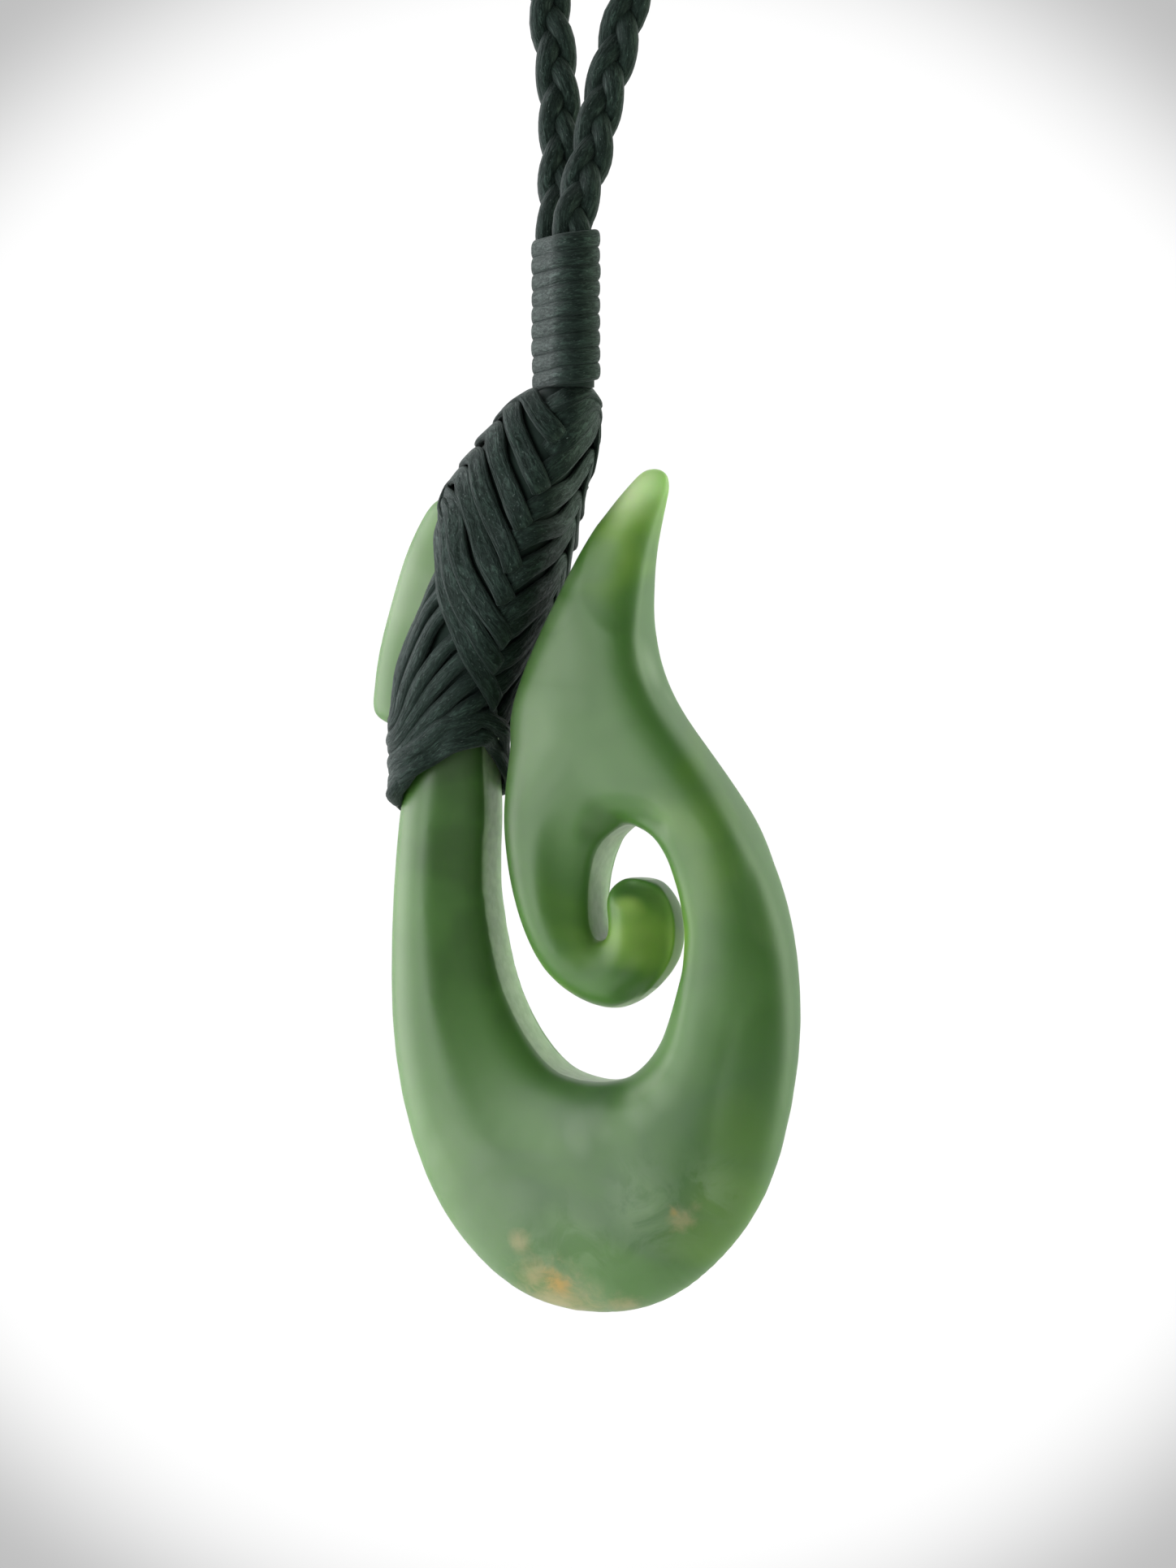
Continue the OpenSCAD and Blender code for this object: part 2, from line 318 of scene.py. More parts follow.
def along_threads(tree, along, size):
    """The strand's map with its threads lying along it, each so long and so wide."""
    length, width = size
    node = add_node(tree, "ShaderNodeMapping", inputs={"Vector": along, "Rotation": (0, 0, SLANT),
                                                      "Scale": (1 / length, 1 / width, 1)})
    return node.outputs["Vector"]


def waxed_cord(name):
    material, tree, shader = new_material(name, CORD_FINISH)
    along = add_node(tree, "ShaderNodeUVMap", uv_map="along").outputs["UV"]
    threads = grain(tree, along_threads(tree, along, THREAD), 1.0, 4, 0.7, 0.8)
    plies = grain(tree, along_threads(tree, along, PLY), 1.0, 2, 0.5, 0.2)
    patches = spread(tree, grain(tree, along, 0.9, 3, 0.6), 0.3, 0.7, 0.5, 1.0)
    # painted highlight on the tops of the threads, painted shade in the gaps between them
    lit = times(tree, spread(tree, threads, 0.42, 0.66), spread(tree, plies, 0.3, 0.62, 0.25, 1.0))
    base = mixed(tree, times(tree, lit, patches), CORD_SHADE, CORD_LIT)
    # specks of pale lint, painted bright as glints
    lint_and_glint = grain(tree, along_threads(tree, along, LINT_AND_GLINT), 1.0, 3, 0.6)
    base = mixed(tree, spread(tree, lint_and_glint, 0.61, 0.80), base, CORD_LINT_AND_GLINT)
    crown = add_node(tree, "ShaderNodeAttribute", attribute_name="crown").outputs["Fac"]
    # painted shade on the low sides of each strand's section, in the creases between strands
    base = mixed(tree, spread(tree, crown, 0.25, 0.98), CORD_SHADE, base)
    tree.links.new(base, shader.inputs["Base Color"])
    tree.links.new(spread(tree, threads, 0.3, 0.7, 0.7, 0.45), shader.inputs["Roughness"])
    relief = worked_out(tree, "MULTIPLY_ADD", plies, PLY_RELIEF, threads)
    tree.links.new(bump(tree, relief, THREAD_RELIEF), shader.inputs["Normal"])
    print(name, "is made of", len(tree.nodes), "nodes")
    return material


binding_material = waxed_cord("binding_cord")
neck_material = waxed_cord("neck_cord")

# %% [markdown]
# The carved stone
#
# A carver saws the outline, grinds both faces, and rounds every edge by hand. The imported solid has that
# outline in flat facets. A fine copy of it is smoothed, and the carver's strokes are then pressed into
# its faces along lines traced on the picture, which is quicker than sculpting and stays exact.

# %% Smooth the stone
stone = fine_copy("hook_stone", 0.22 * MM, 24)
stone_tree = BVHTree.FromBMesh(stone)

# %% [markdown]
# Each stroke is a line of picture points on the front face, each with the width of the stroke there in
# millimetres. It slopes the face down towards its line, from nothing at its width. The first number is
# the slope and the second how round the slope is. Most strokes are cut into both faces alike. The bulb
# is rounded on its front only: its back keeps its edge, which is what is seen beside the limb.

# %% Strokes
STROKES = {
    "groove over the eye": (0.42, 1.25, [
        (808, 1018, 1.0), (790, 1008, 1.3), (770, 1006, 1.4), (751, 1010, 1.4), (736, 1022, 1.2)]),
    "bevel round the opening": (0.2, 1.25, [
        (772, 1332, 1.5), (800, 1308, 1.5), (822, 1272, 1.0), (834, 1230, 0.6)]),
    "fall of the right limb": (0.13, 2.0, [
        (948, 1080, 3.5), (962, 1140, 4.5), (975, 1200, 5.5), (987, 1280, 6.8),
        (985, 1350, 7.8), (966, 1430, 7.2), (930, 1500, 5.2), (890, 1550, 3.0)]),
}
FRONT_STROKES = {
    "round of the bulb": (0.8, 1.7, [
        (767, 1090, 1.2), (795, 1098, 1.8), (810, 1118, 2.2), (815, 1146, 2.4),
        (812, 1180, 2.2), (797, 1208, 1.8), (775, 1226, 1.2)]),
}
print(len(STROKES), "strokes on both faces and", len(FRONT_STROKES), "on the front")


# %% Carve the faces
def distance_to(point, a, b):
    """Distance across the face from a point to the line from a to b, and how far along it."""
    p, s, e = (Vector((q.x, q.z)) for q in (point, a, b))
    run = e - s
    t = max(0.0, min(1.0, (p - s).dot(run) / max(run.length_squared, 1e-12)))
    return (p - s - run * t).length, t


def press(bm, tree, strokes, back=True):
    """Slopes both faces of the stone, or the front alone, towards each stroke."""
    middle = STONE_BOTTOM.y
    for slope, roundness, points in strokes.values():
        line = [seen_at(tree, px, py) for px, py, _ in points]
        widths = [width * MM for _, _, width in points]
        reach = max(widths)
        low = Vector((min(p.x for p in line) - reach, 0, min(p.z for p in line) - reach))
        high = Vector((max(p.x for p in line) + reach, 0, max(p.z for p in line) + reach))
        for v in bm.verts:
            side = v.co.y - middle
            inside = low.x < v.co.x < high.x and low.z < v.co.z < high.z
            if not inside or (side > 0 and not back):
                continue
            sunk = 0.0
            for a, b, wide_a, wide_b in zip(line, line[1:], widths, widths[1:]):
                away, t = distance_to(v.co, a, b)
                width = wide_a + (wide_b - wide_a) * t
                sunk = max(sunk, slope * width * max(0.0, 1 - away / width) ** roundness)
            v.co.y -= math.copysign(min(sunk, abs(side) * slope), side)


press(stone, stone_tree, STROKES)
press(stone, stone_tree, FRONT_STROKES, back=False)
smooth_all(stone, 5)
print("carved faces have", len(stone.faces), "small faces")

# %% [markdown]
# The hollow down the blade runs out below the point. There both faces are rubbed smooth, front to back
# only, so the outline stays where it is.

# %% Rub the blade
RUN_OUT = ((798, 622), (780, 716))
RUN_OUT_WIDE = 3 * MM
RUBS = 110
run_out = [seen_at(stone_tree, *point) for point in RUN_OUT]
rubbed = [v for v in stone.verts if distance_to(v.co, *run_out)[0] < RUN_OUT_WIDE]
for _ in range(RUBS):
    bmesh.ops.smooth_vert(stone, verts=rubbed, factor=0.5, use_axis_y=True)
print(len(rubbed), "points of the blade rubbed smooth")

# %% [markdown]
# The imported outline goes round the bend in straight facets, and a real one is sanded to an even curve.
# How far out the edge lies is measured at each degree round the middle of the bend and evened over a
# few degrees. Only the outer part moves, and less towards the ends of the bend, so nothing steps.

# %% Even the bend's edge
BEND_MIDDLE = (735, 1345)
EVEN_OVER = 8
BEND_ENDS = (190, 215, 325, 350)
MOVED_FROM = (0.6, 0.95)


def even_edge(bm, centre):
    """Evens the bend's outer edge round a centre. What lies further in moves less."""
    angles = [math.degrees(math.atan2(v.co.z - centre.z, v.co.x - centre.x)) % 360 for v in bm.verts]
    away = [math.hypot(v.co.x - centre.x, v.co.z - centre.z) for v in bm.verts]
    edge = np.zeros(360)
    for angle, r in zip(angles, away):
        edge[int(angle) % 360] = max(edge[int(angle) % 360], r)
    bell = np.exp(-0.5 * (np.arange(-90, 91) / EVEN_OVER) ** 2)
    even = np.convolve(np.tile(edge, 3), bell / bell.sum(), "same")[360:720]
    degrees = np.arange(360) + 0.5
    moved = [0.0]
    for v, angle, r in zip(bm.verts, angles, away):
        if not BEND_ENDS[0] < angle < BEND_ENDS[-1]:
            continue
        reach = np.interp(angle, degrees, edge)
        share = np.interp(angle, BEND_ENDS, (0, 1, 1, 0)) * np.interp(r / reach, MOVED_FROM, (0, 1))
        grown = float((np.interp(angle, degrees, even) / reach - 1) * share)
        v.co.x += (v.co.x - centre.x) * grown
        v.co.z += (v.co.z - centre.z) * grown
        moved.append(abs(grown) * r)
    print("outer edge of the bend moved by up to", round(max(moved) / MM, 2), "mm")


even_edge(stone, seen_at(stone_tree, *BEND_MIDDLE))

# %% [markdown]
# How thick the stone is behind each place is kept with its points, and how far it faces sideways. The
# material reads both: it paints a glow on the thin places, where more light comes through, and paints
# light on the walls inside the openings, which face the bright sides.

# %% Feel the thickness
JUST_OFF = 0.05 * MM
STONE_THICK = 7 * MM
OPENING_WIDE = 14 * MM
BULB_MIDDLE = (785, 1150)
BULB_REACH = 4 * MM


def keep_with_points(bm, name, values):
    layer = bm.verts.layers.float.new(name)
    for v, value in zip(bm.verts, values):
        v[layer] = value
    print(name, "from", round(float(min(values)), 2), "to", round(float(max(values)), 2))


def thinness(bm, full):
    """1 where the stone is thinnest and 0 where it is as thick as full."""
    tree = BVHTree.FromBMesh(bm)
    depths = []
    for v in bm.verts:
        depth = tree.ray_cast(v.co - v.normal * JUST_OFF, -v.normal)[3]
        depths.append(full if depth is None else min(depth, full))
    return averaged(bm, 1 - np.array(depths) / full, 30)


def inner_walls(bm, across, bulb):
    """How far each place faces sideways, where the stone faces itself across an opening.

    The bulb's outer side isn't a wall, because it is rubbed round.
    """
    tree = BVHTree.FromBMesh(bm)
    facing = []
    for v in bm.verts:
        other = tree.ray_cast(v.co + v.normal * JUST_OFF, v.normal, across)[0]
        near_bulb = math.hypot(v.co.x - bulb.x, v.co.z - bulb.z) < BULB_REACH
        rounded = near_bulb and v.co.x > bulb.x and v.normal.x > -0.2
        facing.append(0.0 if other is None or rounded else 1 - abs(v.normal.y))
    return averaged(bm, np.array(facing), 4)


stone.normal_update()
stone.verts.index_update()
keep_with_points(stone, "thin", thinness(stone, STONE_THICK))
keep_with_points(stone, "wall", inner_walls(stone, OPENING_WIDE, seen_at(stone_tree, *BULB_MIDDLE)))

# %% [markdown]
# Jade
#
# The stone is green and a little see-through: light goes in, scatters and comes out again. The glow of
# its thin places, such as the point and the curl, is painted yellow green as well. It is rubbed to a satin
# polish. The pattern is in the stone itself, so it is worked out from the place in space and not from
# the surface. The pale wisps, the tan marks and the rust stain lie where the real stone has them, and
# painted shade, painted glow and painted light lie over the places where the stone is shaded or lit. Each
# is a list of spots, and a spot is a picture point, a radius in millimetres and a strength.

# %% Colours of the jade
# Besides the jade's own colours, some of these are painted glow, painted shade and painted light.
JADE_DEEP = (0.052, 0.160, 0.018, 1)
JADE_MID = (0.076, 0.202, 0.035, 1)
JADE_THIN_GLOW = (0.280, 0.500, 0.090, 1)
JADE_CLEAR_GLOW = (0.140, 0.320, 0.008, 1)
JADE_TIP_GLOW = (0.620, 0.800, 0.420, 1)
JADE_GLOW = (0.580, 0.800, 0.220, 1)
JADE_DEEP_SHADE = (0.028, 0.085, 0.010, 1)
JADE_WALL_LIGHT = (0.400, 0.530, 0.330, 1)
JADE_SHADE = (0.055, 0.135, 0.050, 1)
# the pale of the real wisps, also used for painted light
JADE_PALE_WISPS_AND_LIGHT = (0.240, 0.370, 0.190, 1)
JADE_RUST = (0.480, 0.290, 0.050, 1)
JADE_TAN = (0.420, 0.350, 0.170, 1)
JADE_FINISH = {"Subsurface Weight": 0.8, "Subsurface Radius": (0.6, 1.0, 0.3),
               "Subsurface Scale": 2.2 * MM, "Roughness": 0.45, "IOR": 1.62}

# %% Spots of the jade
# painted yellow green glow on the bulb and the blade, and painted light over the limb's shaded band
CLEAR_GLOW = [((790, 1145), 4.0, 0.6), ((860, 940), 3.0, 0.35), ((880, 1005), 3.0, 0.4), ((898, 1075), 3.0, 0.4),
         ((776, 690), 2.6, 0.85), ((788, 640), 2.0, 0.6), ((718, 1168), 1.8, 0.5),
         ((905, 1475), 2.6, 0.4), ((868, 1535), 2.4, 0.4), ((918, 1410), 2.4, 0.25)]
SHADE = [((760, 1455), 7.5, 0.55)]
# painted glow of light shining through the point
TIP_GLOW = [((803, 600), 2.4, 0.95)]
GLOW = [((785, 1150), 2.6, 0.18), ((778, 1106), 1.5, 0.9), ((770, 690), 2.0, 0.16)]
# painted shadow of the lashing on the top of the shank, and painted shade down the shank and by the limb
DEEP_SHADE = [((575, 930), 2.8, 0.95), ((578, 985), 2.4, 0.75), ((580, 1035), 2.4, 0.6), ((582, 1085), 2.4, 0.55),
        ((586, 1135), 2.4, 0.5), ((596, 1190), 2.0, 0.45), ((614, 1250), 1.8, 0.35),
        ((850, 1200), 2.2, 0.16)]
# painted light: a pale sheen, and lit edges, rims and bevels
PAINTED_LIGHT = [((655, 900), 2.6, 0.35), ((672, 800), 2.2, 0.25), ((802, 822), 1.8, 0.6), ((825, 860), 1.4, 0.3),
        ((668, 800), 1.2, 0.3), ((682, 755), 1.2, 0.4), ((701, 708), 1.2, 0.4), ((724, 662), 1.2, 0.4),
        ((752, 620), 1.2, 0.35), ((500, 740), 3.0, 0.3), ((545, 1420), 3.4, 0.25), ((590, 1500), 3.0, 0.25),
        ((735, 1585), 2.6, 0.4), ((836, 1268), 1.2, 0.2), ((825, 1302), 1.4, 0.3), ((806, 1338), 1.5, 0.35),
        ((780, 1370), 1.5, 0.35), ((748, 1392), 1.5, 0.3), ((712, 1404), 1.5, 0.25),
        ((675, 1408), 1.5, 0.18), ((875, 1010), 3.4, 0.14), ((905, 1085), 3.2, 0.24),
        ((722, 1172), 1.6, 0.16)]
WISPS = [((655, 1545), 3.2, 0.6), ((715, 1530), 4.0, 0.5), ((800, 1490), 4.2, 0.7), ((870, 1465), 3.0, 0.6)]
RUST = [((687, 1580), 1.0, 0.85), ((829, 1494), 0.35, 0.5)]
TAN = [((658, 1572), 1.5, 0.6), ((640, 1530), 0.9, 0.5), ((838, 1500), 0.9, 0.6), ((858, 1487), 0.5, 0.5),
       ((770, 1608), 1.3, 0.6), ((690, 1602), 3.0, 0.7)]


def near_spots(tree, place, ragged, spots):
    """The strongest of the spots at a place: full within each spot's radius and 0 outside it."""
    total = None
    for point, radius, strength in spots:
        centre = seen_at(stone_tree, *point)
        away = add_node(tree, "ShaderNodeVectorMath", operation="DISTANCE",
                        inputs={0: place, 1: tuple(centre)}).outputs["Value"]
        wavy = worked_out(tree, "MULTIPLY_ADD", ragged, radius * 1.6 * MM, away)
        spot = spread(tree, wavy, radius * 0.7 * MM, radius * 2.0 * MM, strength, 0.0)
        total = spot if total is None else worked_out(tree, "MAXIMUM", total, spot)
    return total


print("spots:", sum(len(spots) for spots in (CLEAR_GLOW, SHADE, TIP_GLOW, GLOW, DEEP_SHADE, PAINTED_LIGHT, WISPS, RUST, TAN)))

# %% [markdown]
# The colours are laid one over another, from the wide soft ones to the small ragged ones. The painted
# glow of thin stone comes over the broad colours, and the painted light on the walls of the openings
# over the painted light of the spots.


# %% Mix the jade
def jade():
    material, tree, shader = new_material("jade", JADE_FINISH)
    place = add_node(tree, "ShaderNodeTexCoord").outputs["Object"]
    cloud = spread(tree, grain(tree, place, 110, 2, 0.5, 0.6), 0.3, 0.7)
    base = mixed(tree, cloud, JADE_DEEP, JADE_MID)
    # painted shade over the lower bend and down the shank, and painted glow on the bulb, blade and limb
    for spots, colour in ((SHADE, JADE_SHADE), (DEEP_SHADE, JADE_DEEP_SHADE), (CLEAR_GLOW, JADE_CLEAR_GLOW)):
        base = mixed(tree, near_spots(tree, place, cloud, spots), base, colour)
    thin = add_node(tree, "ShaderNodeAttribute", attribute_name="thin").outputs["Fac"]
    # painted glow where the stone is thin and light shines through
    base = mixed(tree, spread(tree, thin, 0.3, 0.8, 0.0, 0.9), base, JADE_THIN_GLOW)
    # painted glow on the point and the curl, and painted light on lit edges, rims and bevels
    for spots, colour in ((TIP_GLOW, JADE_TIP_GLOW), (GLOW, JADE_GLOW), (PAINTED_LIGHT, JADE_PALE_WISPS_AND_LIGHT)):
        base = mixed(tree, near_spots(tree, place, cloud, spots), base, colour)
    wall = add_node(tree, "ShaderNodeAttribute", attribute_name="wall").outputs["Fac"]
    # painted light on the inner walls of the openings, which face the bright sides, mottled
    wall_light_mottle = spread(tree, grain(tree, place, 1600, 3), 0.3, 0.7, 0.6, 0.85)
    base = mixed(tree, times(tree, spread(tree, wall, 0.55, 0.85), wall_light_mottle), base, JADE_WALL_LIGHT)
    soft = grain(tree, place, 330, 5, 0.6, 1.0)
    wisps = times(tree, near_spots(tree, place, soft, WISPS), spread(tree, soft, 0.42, 0.68))
    base = mixed(tree, wisps, base, JADE_PALE_WISPS_AND_LIGHT)
    ragged = grain(tree, place, 900, 4, 0.7, 0.6)
    for spots, colour in ((TAN, JADE_TAN), (RUST, JADE_RUST)):
        base = mixed(tree, near_spots(tree, place, ragged, spots), base, colour)
    tree.links.new(base, shader.inputs["Base Color"])
    skin = grain(tree, place, 1500, 2)
    tree.links.new(bump(tree, skin, 0.01 * MM, 0.15), shader.inputs["Normal"])
    return material


finish_piece("hook", stone, jade(), ["hook_stone"])

# %% [markdown]
# Strands
#
# A strand is a strip of grid rolled round its path: one way along the path, the other way round the
# section. The section is a flattened round, set square to the surface that the strand lies on. The
# ends are closed to a small flat cap, and the width and the place sway a little, as a hand winds it.

# %% Lines and sections
STRAND_SIDES = 18
STRAND_GIRTH = 2.4


def squared(c, power):
    """A coordinate of a rounded rectangle from the cosine or sine of its angle."""
    return math.copysign(abs(c) ** (2 / power), c)


def smooth_line(points, step):
    """Points about a step apart on a smooth curve through a few points."""
    line = []
    last = len(points) - 1
    for i in range(last):
        a, b, c, d = (points[min(max(k, 0), last)] for k in (i - 1, i, i + 1, i + 2))
        steps = max(1, round((c - b).length / step))
        for s in range(steps):
            t = s / steps
            line.append(0.5 * (2 * b + (c - a) * t + (2 * a - 5 * b + 4 * c - d) * t * t
                               + (3 * b - a - 3 * c + d) * t ** 3))
    line.append(points[-1].copy())
    return line


def directions(path):
    last = len(path) - 1
    return [(path[min(i + 1, last)] - path[max(i - 1, 0)]).normalized() for i in range(last + 1)]


print("a strand has", STRAND_SIDES, "sides")

# %% [markdown]
# One operator makes the grid. Its map runs from 0 to 1 both ways, so every corner of it knows how far
# along the strand and how far round it lies. The points are then moved from the flat grid to the round
# strand, the seam is merged, and the two open ends are filled.


# %% Roll a strand
def add_strand(bm, path, ups, wide, thick, power=3.4, sides=STRAND_SIDES, shift=0.0, uneven=0.14):
    """Rolls one strand along a path, its flat face turned to the ups, a little uneven in width."""
    uv = bm.loops.layers.uv.get("along") or bm.loops.layers.uv.new("along")
    crown = bm.verts.layers.float.get("crown") or bm.verts.layers.float.new("crown")
    last = len(path) - 1
    verts = bmesh.ops.create_grid(bm, x_segments=last, y_segments=sides, size=1, calc_uvs=True)["verts"]
    along = [0.0]
    for a, b in zip(path, path[1:]):
        along.append(along[-1] + (b - a).length)
    ahead = directions(path)
    cap = thick / 3
    for face in {f for v in verts for f in v.link_faces}:
        for loop in face.loops:
            s, r = loop[uv].uv
            loop[uv].uv = (along[round(s * last)] / MM + shift, r * STRAND_GIRTH + shift * 0.37)
    for v in verts:
        i = round((v.co.x + 1) / 2 * last)
        turn = 2 * math.pi * round((v.co.y + 1) / 2 * sides) / sides
        up = (ups[i] - ahead[i] * ups[i].dot(ahead[i])).normalized()
        across = ahead[i].cross(up)
        end = min(along[i], along[last] - along[i])
        round_off = math.sqrt(max(0.04, 1 - (1 - min(end, cap) / cap) ** 2))
        round_off *= 1 + uneven * noise.noise(Vector((along[i] / MM * 0.5, shift, 0)))
        sway = uneven * 0.4 * MM * noise.noise(Vector((along[i] / MM * 0.4, shift, 9)))
        v[crown] = abs(math.sin(turn))
        v.co = (path[i] + across * (sway + wide / 2 * round_off * squared(math.cos(turn), power))
                + up * (thick / 2 * round_off * squared(math.sin(turn), power)))
    bmesh.ops.remove_doubles(bm, verts=verts, dist=MERGE)
    rims = {e for v in verts if v.is_valid for e in v.link_edges if e.is_boundary}
    bmesh.ops.holes_fill(bm, edges=list(rims), sides=sides + 2)


# %% [markdown]
# The lashing's form
#
# The wound cord hugs the stone's head. The imported solid of the lashing gives its form, and a smoothed
# copy of it is what the strands are laid on. Its top end is drawn in under the whipping. Pulled in a
# little, the same copy becomes the core of under-turns that shows in the gaps, painted as shade.

# %% Guide surface
STRAND_WIDE = 1.24 * MM
STRAND_THICK = 0.38 * MM
guide = fine_copy("binding", 0.3 * MM, 14, drawn_up=0.5 * MM)
guide_tree = BVHTree.FromBMesh(guide)


def laid_down(point):
    """The nearest point of the guide surface and its normal there."""
    place, normal, _, _ = guide_tree.find_nearest(point)
    return place, normal


print("guide surface reaches", round((max(v.co.z for v in guide.verts) - STONE_BOTTOM.z) / MM, 1), "mm up")

# %% [markdown]
# Routes of the strands
#
# Each strand is traced on the picture from the line where it tucks in to the edge where it goes round.
# The strands that come down from the left lie over those that come down from the right, and a fan of
# rounder ones spreads below them. Tracing them one by one gives the real crossings, which a repeated
# pattern would not.

# %% Traced strands
OVER = [
    [(690, 543), (686, 536), (671, 517), (658, 501), (650, 484)],
    [(668, 608), (663, 593), (655, 575), (645, 555), (637, 535), (631, 515), (633, 497)],
    [(647, 652), (643, 642), (635, 625), (628, 605), (620, 585), (613, 565), (610, 545), (610, 527)],
    [(633, 706), (627, 682), (619, 663), (609, 643), (601, 622), (593, 602), (588, 580), (588, 560)],
    [(625, 744), (617, 723), (606, 703), (596, 680), (589, 655), (580, 630), (573, 605), (571, 585)],
    [(624, 795), (615, 775), (604, 757), (591, 738), (577, 715), (567, 690), (562, 660), (560, 625)],
    [(615, 824), (601, 802), (589, 782), (577, 760), (566, 738), (558, 715), (553, 690), (551, 660),
     (551, 640)],
    [(612, 870), (599, 840), (586, 815), (573, 792), (562, 768), (554, 745), (547, 720), (545, 690),
     (543, 650)],
]
UNDER = [
    [(664, 500), (682, 496), (700, 489), (717, 480), (731, 471)],
    [(672, 530), (690, 518), (704, 508), (719, 497), (732, 486)],
    [(672, 558), (690, 545), (704, 533), (717, 521), (730, 506)],
    [(664, 590), (678, 582), (690, 572), (703, 560), (715, 547), (727, 530)],
    [(640, 636), (658, 626), (675, 618), (692, 608), (706, 597), (718, 582), (727, 565)],
    [(622, 672), (645, 662), (660, 655), (680, 650), (695, 642), (708, 630), (718, 615)],
    [(614, 722), (635, 710), (648, 700), (663, 692), (680, 680), (692, 670), (703, 660), (710, 648)],
    [(612, 766), (630, 752), (653, 735), (668, 725), (683, 715), (695, 700), (703, 685)],
    [(604, 795), (622, 780), (640, 765), (652, 757), (665, 745), (680, 733), (690, 720)],
    [(598, 830), (618, 815), (638, 800), (648, 790), (660, 775), (672, 757)],
    [(590, 866), (606, 852), (622, 838), (635, 825), (645, 812), (655, 795)],
    [(600, 905), (612, 892), (622, 880), (632, 860), (640, 842), (645, 820)],
]
FAN = [
    [(552, 690), (533, 710), (520, 735), (507, 760), (495, 787), (485, 815), (479, 845), (478, 875)],
    [(554, 712), (538, 730), (525, 752), (512, 778), (500, 803), (490, 830), (484, 860), (481, 885)],
    [(562, 732), (545, 752), (532, 770), (522, 790), (511, 812), (501, 835), (492, 860), (485, 885)],
    [(580, 770), (556, 790), (543, 803), (530, 820), (518, 837), (507, 856), (497, 877), (487, 903)],
    [(592, 795), (568, 812), (553, 826), (540, 840), (527, 856), (514, 873), (502, 890), (488, 912)],
    [(606, 822), (580, 838), (565, 850), (550, 864), (535, 877), (520, 892), (505, 908), (488, 930)],
    [(616, 850), (590, 862), (575, 872), (560, 883), (543, 895), (527, 908), (510, 925), (495, 942),
     (483, 955)],
    [(622, 873), (600, 882), (578, 893), (556, 905), (534, 919), (514, 937), (498, 957), (485, 980)],
]
STEP = 0.28 * MM
print("traced strands:", len(OVER), "over,", len(UNDER), "under,", len(FAN), "in the fan")

# %% [markdown]
# The traced points are looked up on the guide surface and joined by a smooth line, whose corners are
# eased. The back can't be seen, so it is wound like the front: past the edge the strand runs on as its
# own mirror image and tucks in there again.


# %% Lay a line on the form
def on_guide(points):
    """A fine line on the guide surface through points of the picture."""
    line = smooth_line([seen_at(guide_tree, *p) for p in points], STEP)
    return [laid_down(p)[0] for p in line]


def eased(line, rounds=6):
    """The line with its corners eased and laid down again."""
    for _ in range(rounds):
        inner = [laid_down((a + b * 2 + c) / 4)[0] for a, b, c in zip(line, line[1:], line[2:])]
        line = [line[0]] + inner + [line[-1]]
    return line


def mirrored_back(line, side, short, behind=0.0):
    """The line and its mirror image on the back, joined round the edge, which is left, -1, or right, 1.

    The front half ends so many mm short of the middle, and the turn lies so many mm behind it.
    """
    middle = STONE_BOTTOM.y
    front = [p for p in line if p.y < middle - short * MM]
    kept = [p for p in front if p.y < middle - (short + behind) * MM]
    back = [Vector((p.x, 2 * middle - p.y, p.z)) for p in reversed(kept if len(kept) > 4 else front[:5])]
    ahead = (front[-1] - front[-4]).normalized()
    beyond = front[-1] + ahead * (short * 1.5 + behind) * MM
    edge = laid_down(Vector((beyond.x + side * 3 * MM, middle + behind * 0.8 * MM, beyond.z)))[0]
    bridge = smooth_line([front[-3], front[-1], edge, back[0], back[2]], STEP)
    return front[:-3] + [laid_down(p)[0] for p in bridge] + back[3:]


# %% [markdown]
# A strand lies proud of the form along its middle and sinks into it where it tucks in under others. Its
# height is given at a few stations along it, and it is rolled a little, so one edge lies higher.


# %% Raise a line off the form
def height_at(run, length, heights):
    """Height between the stations of a list, eased; a negative distance is taken from the end."""
    stations = [((d if d >= 0 else length / MM + d) * MM, h * MM) for d, h in heights]
    for (d0, h0), (d1, h1) in zip(stations, stations[1:]):
        if run <= d1:
            t = max(0.0, min(1.0, (run - d0) / max(d1 - d0, 1e-9)))
            return h0 + (h1 - h0) * t * t * (3 - 2 * t)
    return stations[-1][1]


def lift(line, heights, roll=0.0):
    """Raises a line off the surface and rolls it: heights are (distance from the start, height) in mm."""
    ups = [laid_down(p)[1] for p in line]
    for _ in range(6):
        inner = [(a + b * 2 + c).normalized() for a, b, c in zip(ups, ups[1:], ups[2:])]
        ups = [ups[0]] + inner + [ups[-1]]
    length = sum((b - a).length for a, b in zip(line, line[1:]))
    raised = []
    run = 0.0
    for i, (p, up) in enumerate(zip(line, ups)):
        if i:
            run += (p - line[i - 1]).length
        raised.append(p + up * height_at(run, length, heights))
    return raised, [up + way.cross(up) * roll for up, way in zip(ups, directions(line))]


# %% [markdown]
# The last turns go right round the neck of the shank, lower behind than in front, so their heights are
# given at stations on the way round. A ray from the middle of the shank finds the surface there.

# %% Turns round the shank
LOOP = [(0, 31.9), (35, 32.9), (70, 32.4), (100, 31.3), (125, 30.4), (150, 29.7), (172, 29.1), (190, 28.8),
        (215, 28.9), (270, 29.5), (320, 30.1), (345, 30.8), (360, 31.7)]
SHANK_X = -7.1 * MM
CORD_OFF_STONE = 0.25 * MM
CORD_REACH = 2.5 * MM


def side_at(turn):
    """The way out at an angle round the shank: 0 is right, 90 in front."""
    return Vector((math.cos(math.radians(turn)), -math.sin(math.radians(turn)), 0))


